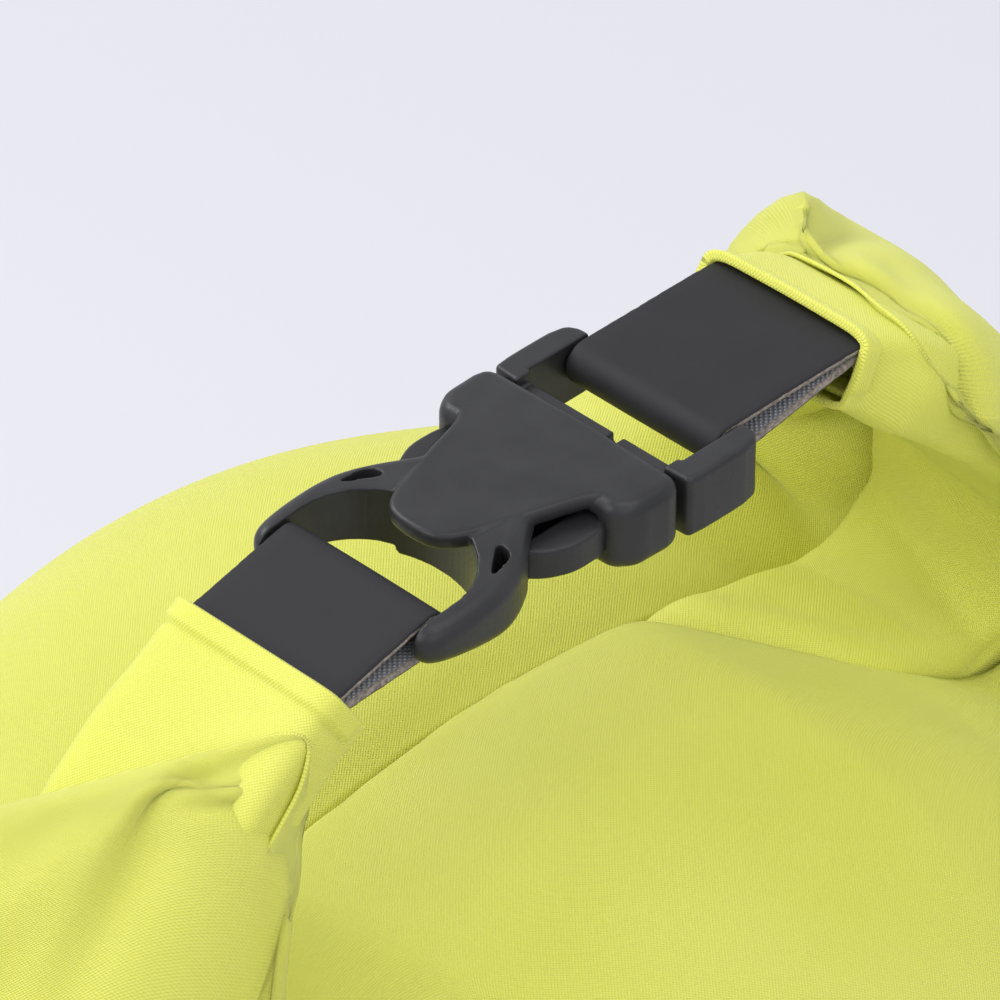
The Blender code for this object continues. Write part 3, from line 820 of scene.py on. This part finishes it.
def add_tube_uv(mesh):
    """Cloth coordinates round and up the tube; the seam column takes the full turn."""
    layer = mesh.uv_layers.get("cloth") or mesh.uv_layers.new(name="cloth")
    width = 2 * math.pi * BAG_RADIUS / COLUMNS
    heights = np.concatenate([
        np.linspace(0.0, CROWN_START - WALL_LOW, WALL_ROWS, endpoint=False),
        CROWN_START - WALL_LOW + np.linspace(0.0, CROWN_LENGTH, CROWN_ROWS + 1),
    ])
    for polygon in mesh.polygons:
        columns = [mesh.loops[k].vertex_index % COLUMNS for k in polygon.loop_indices]
        wraps = max(columns) - min(columns) > 1
        for k, column in zip(polygon.loop_indices, columns):
            row = mesh.loops[k].vertex_index // COLUMNS
            turn = column + (COLUMNS if wraps and column == 0 else 0)
            layer.data[k].uv = (turn * width, heights[row])



# ---------------------------------------------------------------- straps


def strap_lines(side):
    """Centre line of a strap: upper tab, fold round the bar, lower tab, as (x, z)."""
    end = STRAP_INSET if side < 0 else PATH.length - STRAP_INSET
    step = 1.0 * MM if side < 0 else -1.0 * MM
    shift = STRAP_THICK / 2 + GAP / 2
    upper, lower = [], []
    for k in range(TAB_POINTS):
        x, z, nx, nz = PATH.at(end + step * (TAB_POINTS - 1 - k))
        upper.append((x - nx * (SLOT_SHIFT + shift), z - nz * (SLOT_SHIFT + shift)))
        lower.append((x - nx * (SLOT_SHIFT - shift), z - nz * (SLOT_SHIFT - shift)))
    lift = RIGHT_LIFT if side > 0 else 0.0
    bar = (BUCKLE_X + side * BAR_X, TOP_PLANE + BAR_Z + lift)
    radius = BAR_RADIUS + GAP + STRAP_THICK / 2
    turn = []
    for k in range(25):
        a = math.pi / 2 + side * math.pi * k / 24
        turn.append((bar[0] + radius * math.cos(a), bar[1] + radius * math.sin(a)))
    return spaced(upper + turn + lower[::-1], 0.45 * MM)


def spaced(points, step):
    """Evenly spaced points along a smoothed line through the given ones."""
    line = np.array(points)
    for _ in range(2):
        inner = 0.75 * line[:-1] + 0.25 * line[1:]
        outer = 0.25 * line[:-1] + 0.75 * line[1:]
        mixed = np.empty((2 * len(inner), 2))
        mixed[0::2], mixed[1::2] = inner, outer
        line = np.vstack([line[:1], mixed, line[-1:]])
    lengths = np.concatenate([[0.0], np.cumsum(np.linalg.norm(np.diff(line, axis=0), axis=1))])
    marks = np.linspace(0.0, lengths[-1], int(lengths[-1] / step))
    return np.stack([np.interp(marks, lengths, line[:, k]) for k in range(2)], axis=1)


def strap_section():
    """Points (y, offset) round the strap with softly rounded edges, and each face's material."""
    half, thick = STRAP_WIDTH / 2, STRAP_THICK / 2
    soft = 0.22 * MM
    outer = [(y, thick) for y in np.linspace(-half + 2 * soft, half - 2 * soft, 15)]
    right = [(half - 0.5 * soft, thick - 0.35 * soft), (half, thick - 1.5 * soft)]
    right += [(half + 0.05 * MM, 0.0), (half - 0.05 * MM, -thick + soft), (half - soft, -thick)]
    inner = [(y, -thick) for y in np.linspace(half - 2 * soft, -half + 2 * soft, 9)]
    left = [(-y, n) for y, n in reversed(right)]
    points = outer + right + inner + left
    groups = [COATED] * (len(outer) + 1) + [CUT_EDGE] * 4
    groups += [BACKING] * (len(inner) - 1) + [CUT_EDGE] * 4 + [COATED] * 2
    return points, groups


def make_strap(name, side, mats):
    """The strap swept along its line, with slight ripples and a slightly ragged cut edge."""
    line = strap_lines(side)
    section, groups = strap_section()
    verts, uvs, faces, kinds = [], [], [], []
    along = 0.0
    for i, (x, z) in enumerate(line):
        before, after = line[max(i - 1, 0)], line[min(i + 1, len(line) - 1)]
        tangent = (after - before) / np.linalg.norm(after - before)
        nx, nz = -side * tangent[1], side * tangent[0]
        if i:
            along += np.linalg.norm(line[i] - line[i - 1])
        for y, offset in section:
            ripple = 0.16 * MM * noise.noise(Vector((x * 90.0, y * 60.0, z * 90.0 + side)))
            ragged = 0.10 * MM * noise.noise(Vector((along * 900.0, 4.0 * side, 1.0)))
            wide = y * (1.0 + ragged / (STRAP_WIDTH / 2))
            lift = -(offset + ripple * 0.6)
            verts.append((x + nx * lift, wide, z + nz * lift))
            uvs.append((along, y))
    count = len(section)
    for i in range(len(line) - 1):
        for k in range(count):
            j = (k + 1) % count
            a, b = i * count, (i + 1) * count
            faces.append((a + k, a + j, b + j, b + k))
            kinds.append(groups[k])
    last = (len(line) - 1) * count
    faces += [tuple(range(count)), tuple(range(last, last + count))]
    kinds += [CUT_EDGE, CUT_EDGE]
    obj = new_object(name, verts, faces)
    for mat in mats:
        obj.data.materials.append(mat)
    obj.data.polygons.foreach_set("material_index", kinds)
    set_cloth_uv(obj.data, uvs)
    face_outward(obj)
    return obj


# ---------------------------------------------------------------- the buckle


def chaikin(points, rounds=3, keep=0.25):
    """A closed outline with its corners cut into smooth curves."""
    line = np.array(points, float)
    for _ in range(rounds):
        nexts = np.roll(line, -1, axis=0)
        mixed = np.empty((2 * len(line), 2))
        mixed[0::2] = line * (1 - keep) + nexts * keep
        mixed[1::2] = line * keep + nexts * (1 - keep)
        line = mixed
    return [tuple(p) for p in line]


def both_sides(half):
    """A symmetric outline from its half, mirrored across the buckle's middle line."""
    return half + [(x, -y) for x, y in reversed(half)]


def prism(name, outline, low, high):
    """An upright solid; outline in buckle millimetres, heights from the strap plane."""
    count = len(outline)
    verts = []
    for z in (low, high):
        verts += [((BUCKLE_X / MM + x) * MM, y * MM, TOP_PLANE + z * MM) for x, y in outline]
    faces = [tuple(range(count)), tuple(range(count, 2 * count))]
    for i in range(count):
        j = (i + 1) % count
        faces.append((i, j, count + j, count + i))
    obj = new_object(name, verts, faces)
    face_outward(obj)
    return obj


def block(name, x0, x1, y0, y1, z0, z1):
    return prism(name, [(x0, y0), (x1, y0), (x1, y1), (x0, y1)], z0, z1)


def bevel(obj, width, segments=4, angle=40.0):
    mod = obj.modifiers.new("rounded_edges", "BEVEL")
    mod.width = width * MM
    mod.segments = segments
    mod.limit_method = "ANGLE"
    mod.angle_limit = math.radians(angle)
    return obj


def combine(obj, tool, operation):
    """Joins or cuts, and removes the tool."""
    mod = obj.modifiers.new(operation.lower(), "BOOLEAN")
    mod.object = tool
    mod.operation = operation
    mod.solver = "EXACT"
    apply_modifiers(obj)
    bpy.data.objects.remove(tool, do_unlink=True)
    return obj


def bar(x):
    """The round bar that a strap folds over, x from the buckle's middle."""
    n = BAR_SIDES
    verts = []
    for y in (-BAR_HALF, BAR_HALF):
        for k in range(n):
            a = 2 * math.pi * k / n
            px, pz = x + BAR_RADIUS * math.cos(a), BAR_Z + BAR_RADIUS * math.sin(a)
            verts.append((BUCKLE_X + px, y, TOP_PLANE + pz))
    faces = [(k, (k + 1) % n, n + (k + 1) % n, n + k) for k in range(n)]
    faces += [tuple(range(n))[::-1], tuple(range(n, 2 * n))]
    obj = new_object("strap_bar", verts, faces)
    face_outward(obj)
    return obj


def moulded(obj, mat, grain, crown=0.0):
    """One skin with softly filleted inner corners, and a slightly domed top face."""
    mod = obj.modifiers.new("one_skin", "REMESH")
    mod.mode = "VOXEL"
    mod.voxel_size = grain * MM
    mod = obj.modifiers.new("fillets", "SMOOTH")
    mod.factor = 0.5
    mod.iterations = 3
    apply_modifiers(obj)
    for vertex in obj.data.vertices:
        high = min(1.0, max(0.0, (vertex.co.z - TOP_PLANE - 0.4 * MM) / (1.0 * MM)))
        vertex.co.z += crown * MM * high * (1.0 - (vertex.co.y / (16.0 * MM)) ** 2)
    obj.data.materials.clear()
    obj.data.materials.append(mat)
    obj.data.shade_smooth()
    return obj


def female_collar():
    """The mouth of the female half, which the male half butts against."""
    outline = both_sides([(13.2, 14.4), (12.9, 16.4), (10.4, 16.8), (5.4, 16.6), (2.6, 14.6)])
    collar = prism("buckle_female_part", outline, SHELL_LOW, PLATE_TOP)
    return bevel(collar, 1.9, 6, 30.0)


def plate(name, low, high):
    """A wedge-shaped cover plate of the female half, wide at the mouth."""
    half = [(12.6, 14.6), (6.4, 14.6), (4.4, 13.6), (3.0, 11.4), (-0.5, 10.2), (-4.0, 9.2)]
    half += [(-9.5, 7.4), (-13.4, 6.1), (-15.6, 4.6), (-16.6, 2.2)]
    obj = prism(name, chaikin(both_sides(half), 2), low, high)
    return bevel(obj, 0.75, 4, 50.0)


def yoke():
    """The rounded frame that carries the left strap's bar, thinner towards its end."""
    half = [(-3.6, 8.4), (-6.4, 10.4), (-9.4, 12.8), (-13.5, 15.2), (-18.0, 16.0)]
    half += [(-23.5, 16.0), (-27.4, 15.4), (-28.8, 13.6), (-28.6, 11.4)]
    frame_solid = prism("yoke", chaikin(both_sides(half), 2), -7.2, 0.6)
    obj = apply_modifiers(bevel(frame_solid, 2.3, 6, 50.0))
    for vertex in obj.data.vertices:
        x, z = vertex.co.x - BUCKLE_X, vertex.co.z - TOP_PLANE
        if z > -3.0 * MM:
            vertex.co.z += 0.085 * (x + 19.0 * MM)
        else:
            vertex.co.z += 0.14 * max(0.0, -16.0 * MM - x)
    return obj


def yoke_window():
    """The arched opening between the cover plate and the left strap's bar."""
    arch = []
    for k in range(33):
        a = math.pi / 2 - math.pi * k / 32
        arch.append((-21.6 + 10.3 * math.cos(a), 13.0 * math.sin(a)))
    return prism("window", [(-34.0, 13.0)] + arch + [(-34.0, -13.0)], -20.0, 10.0)


def make_female(mat, grain):
    """Collar, two plates, yoke and bar in one skin, hollow where the male half goes in."""
    body = apply_modifiers(female_collar())
    top = apply_modifiers(plate("top_plate", PLATE_TOP - 2.0, PLATE_TOP))
    low = apply_modifiers(plate("bottom_plate", SHELL_LOW, SHELL_LOW + 2.0))
    ring = combine(yoke(), low, "UNION")
    combine(ring, yoke_window(), "DIFFERENCE")
    for side in (1, -1):
        corners = [(-16.2, 13.2), (-11.4, 12.3), (-11.0, 9.2)]
        hole = prism("hole", chaikin([(x, y * side) for x, y in corners], 2, 0.18), -20.0, 10.0)
        combine(ring, hole, "DIFFERENCE")
    combine(body, ring, "UNION")
    combine(body, top, "UNION")
    combine(body, block("socket", -9.0, 20.0, -12.4, 12.4, -5.9, -0.4), "DIFFERENCE")
    combine(body, bar(-BAR_X), "UNION")
    body.name = "buckle_female_shell"
    return moulded(body, mat, grain, 0.45)


def make_male(mat, grain):
    """The male half's frame, strap bar and guide tongue."""
    half = [(27.2, 12.9), (27.0, 15.4), (25.2, 16.7), (20.0, 16.8), (15.2, 16.7), (13.6, 16.2)]
    outline = both_sides(half)
    body = prism("male_part", chaikin(outline, 1, 0.3), SHELL_LOW, PLATE_TOP - 0.9)
    apply_modifiers(bevel(body, 2.1, 6, 50.0))
    combine(body, block("window", 16.4, 40.0, -13.0, 13.0, -20.0, 10.0), "DIFFERENCE")
    combine(body, block("step", 12.0, 17.5, -12.4, 12.4, -0.9, 4.0), "DIFFERENCE")
    combine(body, block("notch", 12.0, 17.5, -3.4, -1.8, -2.2, 4.0), "DIFFERENCE")
    combine(body, bar(BAR_X), "UNION")
    combine(body, block("tongue", -4.0, 14.5, -1.6, 1.6, -5.3, -1.0), "UNION")
    body.name = "buckle_male_frame"
    return moulded(body, mat, grain)


def make_prong(name, side, mat, grain):
    """A springy arm with its catch, which shows in the female half's side window."""
    half = [(13.2, 11.9), (6.0, 11.7), (3.4, 12.2), (2.9, 14.0), (-2.5, 14.2), (-6.0, 12.7)]
    half += [(-8.3, 10.4), (-8.3, 8.9), (-5.0, 9.4), (2.0, 9.2), (13.2, 9.2)]
    outline = [(x, y * side) for x, y in half]
    obj = prism(name, chaikin(outline, 2, 0.22), -5.3, -1.0)
    apply_modifiers(bevel(obj, 0.8, 4, 50.0))
    return moulded(obj, mat, grain)


# ---------------------------------------------------------------- base and carried-over pieces


def make_base(mat):
    """The round floor: a disc of the bag's fabric, welted to the wall all round."""
    rings, steps = 26, 120
    verts, uvs, faces = [], [], []
    for r in range(rings + 1):
        radius = FLOOR_RADIUS * r / rings
        for k in range(steps):
            a = 2 * math.pi * k / steps
            x, y = radius * math.cos(a), radius * math.sin(a)
            lift = 0.5 * MM * (noise.noise(Vector((x * 22.0, y * 22.0, 5.0))) + 0.6)
            edge = min(1.0, (rings - r) / 5.0)
            verts.append((x, y, 0.35 * MM + max(0.0, lift) * edge))
            uvs.append((x, y))
    for r in range(rings):
        for k in range(steps):
            j = (k + 1) % steps
            a, b = r * steps, (r + 1) * steps
            faces.append((a + k, b + k, b + j, a + j))
    obj = new_object("base_floor", verts, faces, mat)
    set_cloth_uv(obj.data, uvs)
    face_outward(obj, weld=True)
    mod = obj.modifiers.new("fabric_thickness", "SOLIDIFY")
    mod.thickness = FLOOR_THICK
    mod.offset = 0.0
    apply_modifiers(obj)
    return obj


def make_welt(mat):
    """The turned and welded edge where wall and floor meet."""
    steps, around = 200, 12
    verts, uvs, faces = [], [], []
    for k in range(steps):
        a = 2 * math.pi * k / steps
        pucker = 0.25 * MM * noise.noise(Vector((math.cos(a) * 30.0, math.sin(a) * 30.0, 1.0)))
        for i in range(around):
            b = 2 * math.pi * i / around
            radius = BASE_RADIUS + 0.5 * MM + (0.9 * MM + pucker) * math.cos(b)
            z = 1.75 * MM + (1.7 * MM + pucker) * math.sin(b)
            verts.append((radius * math.cos(a), radius * math.sin(a), z))
            uvs.append((a * BASE_RADIUS, b * MM))
    for k in range(steps):
        n = (k + 1) % steps
        for i in range(around):
            j = (i + 1) % around
            faces.append((k * around + i, n * around + i, n * around + j, k * around + j))
    obj = new_object("base_welt", verts, faces, mat)
    set_cloth_uv(obj.data, uvs)
    face_outward(obj)
    return obj


def dress(node, mat):
    """Gives a carried-over CAD node its material in every slot."""
    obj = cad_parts[node]
    if not obj.material_slots:
        obj.data.materials.append(mat)
    for place in obj.material_slots:
        place.material = mat


# ---------------------------------------------------------------- stage, light and camera


def stage_material(name, colour):
    """Matt paper, very slightly clouded."""
    n = Nodes(name)
    coordinates = n.add("ShaderNodeTexCoord").outputs["Object"]
    cloud = n.noise(coordinates, 3.0, 2.0)
    low = tuple(c * 0.99 for c in colour[:3]) + (1.0,)
    n.link(n.ramp(cloud, [(0.3, low), (0.7, colour)]), n.shader.inputs["Base Color"])
    n.set(Roughness=0.9)
    return n.material


def make_floor():
    size = 6.0
    verts = [(-size, -size, 0.0), (size, -size, 0.0), (size, size, 0.0), (-size, size, 0.0)]
    paper = stage_material("pale_paper", (0.675, 0.67, 0.70, 1.0))
    floor = new_object("studio_floor", verts, [(0, 1, 2, 3)], paper)


def add_light(name, place, target, power, size):
    data = bpy.data.lights.new(name, "AREA")
    data.energy = power
    data.size = size
    light = bpy.data.objects.new(name, data)
    light.location = place
    light.rotation_euler = (Vector(target) - Vector(place)).to_track_quat("-Z", "Y").to_euler()
    bpy.context.scene.collection.objects.link(light)


def make_light():
    top = Vector((0.0, 0.0, TOP_PLANE))
    add_light("soft_box_back", top + Vector((-0.25, 0.95, 0.80)), top, 8.0, 0.7)
    add_light("soft_box_left", top + Vector((-1.0, 0.15, 0.60)), top, 3.2, 0.6)
    add_light("soft_box_front", top + Vector((-0.4, -1.2, 0.70)), top, 2.2, 0.9)
    add_light("soft_box_top", top + Vector((0.15, -0.45, 1.35)), top, 4.0, 0.9)
    world = bpy.data.worlds.new("studio")
    world.use_nodes = True
    background = world.node_tree.nodes["Background"]
    background.inputs["Color"].default_value = (0.93, 0.94, 1.0, 1.0)
    background.inputs["Strength"].default_value = 0.85
    bpy.context.scene.world = world
    bpy.context.scene.view_settings.view_transform = "Standard"


def make_camera():
    target = Vector((-4.12 * MM, 0.16 * MM, TOP_PLANE - 2.85 * MM))
    data = bpy.data.cameras.new("closure_view")
    data.sensor_width = 36.0
    data.lens = VIEW_LENS
    data.clip_start = 0.01
    data.clip_end = 20.0
    camera = bpy.data.objects.new("closure_view", data)
    camera.location = target + VIEW_OFFSET
    camera.rotation_euler = (target - camera.location).to_track_quat("-Z", "Y").to_euler()
    bpy.context.scene.collection.objects.link(camera)
    bpy.context.scene.camera = camera


# ---------------------------------------------------------------- assembly


def main():
    fabric = fabric_material("lime_coated_nylon")
    coat, back, edge = strap_material(), strap_back_material(), strap_edge_material()
    shell = buckle_material("buckle_satin_acetal")
    # The prongs' copy is a tenth darker: painted shade, as they sit inside the female half's side
    # windows.
    arm = buckle_material("prong_satin_acetal", 2100.0, 0.9)
    tape, strip = tape_material(), strip_material()

    roll, wraps = make_roll(fabric)
    bag, side_tape = make_bag(fabric, tape, roll)
    floor, welt = make_base(fabric), make_welt(fabric)
    left = make_strap("left_strap_loop", -1, (coat, back, edge))
    right = make_strap("right_strap_loop", 1, (coat, back, edge))
    female = make_female(shell, SHELL_GRAIN)
    male = make_male(shell, SHELL_GRAIN)
    near = make_prong("buckle_prong_near", -1, arm, PRONG_GRAIN)
    far = make_prong("buckle_prong_far", 1, arm, PRONG_GRAIN)

    for obj, body in (
        (side_tape, "bag"), (floor, "bag"), (welt, "bag"), (left, "bag"), (female, "bag"),
        (wraps[0], "bag"), (wraps[1], "male_side"), (right, "male_side"),
        (male, "male_side"), (near, "near_prong"), (far, "far_prong"),
    ):
        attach(obj, body)
    for cloth in (roll, bag):
        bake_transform(cloth)
    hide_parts("roll_top", "roll_right_arm")
    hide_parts("bag_body")
    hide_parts("base_panel")
    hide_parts("side_seam_tape")
    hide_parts("left_strap")
    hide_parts("right_strap")
    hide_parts("buckle_female")
    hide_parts("buckle_male")
    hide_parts("prong_near")
    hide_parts("prong_far")
    for node in ("stiffener_front", "stiffener_back"):
        dress(node, strip)
    dress("base_seam_tape", tape)
    make_floor()
    make_light()
    make_camera()


main()
